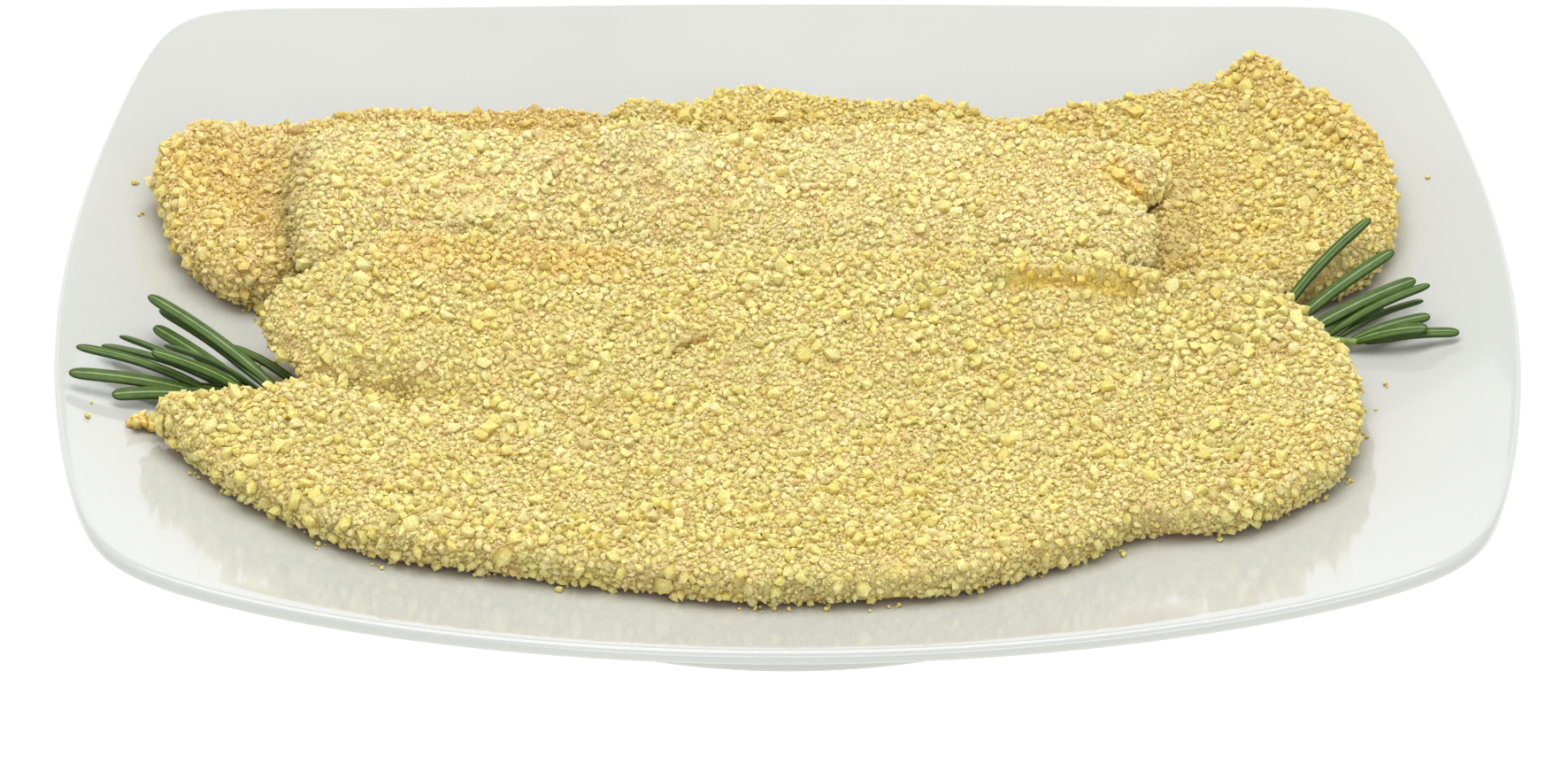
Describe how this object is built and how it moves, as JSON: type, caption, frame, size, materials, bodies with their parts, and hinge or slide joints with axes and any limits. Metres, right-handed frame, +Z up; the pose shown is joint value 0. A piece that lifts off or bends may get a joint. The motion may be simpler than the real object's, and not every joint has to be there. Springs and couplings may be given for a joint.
{
  "type": "plate of breaded schnitzels",
  "caption": "Thin uncooked breaded schnitzels heaped on a square-cornered white coupe plate, with rosemary sprigs tucked beside them.",
  "frame": {"origin": "centre of the plate's outline, on the surface it stands on", "axes": "+X along the plate's longer side, to the right as served; +Y to the back, where the stacked pieces lie; +Z up"},
  "size_m": [0.2728, 0.2388, 0.0373],
  "materials": {
    "porcelain": "gloss white glaze",
    "crumb_deep": "coarse dry breadcrumb over raw meat, the deepest yellow of the pieces",
    "crumb_golden": "coarse dry breadcrumb over raw meat, golden yellow",
    "crumb_pale": "coarse dry breadcrumb over raw meat, pale yellow",
    "crumb_yellow": "coarse dry breadcrumb over raw meat, yellow with pink flecks",
    "rosemary_leaf": "waxy dark green needles"
  },
  "bodies": {
    "root": {"plate": "porcelain", "schnitzel_back_left": "crumb_deep", "schnitzel_back_right": "crumb_golden", "schnitzel_middle": "crumb_pale", "schnitzel_front": "crumb_yellow", "rosemary_left": "rosemary_leaf", "rosemary_right": "rosemary_leaf"}
  },
  "joints": []
}
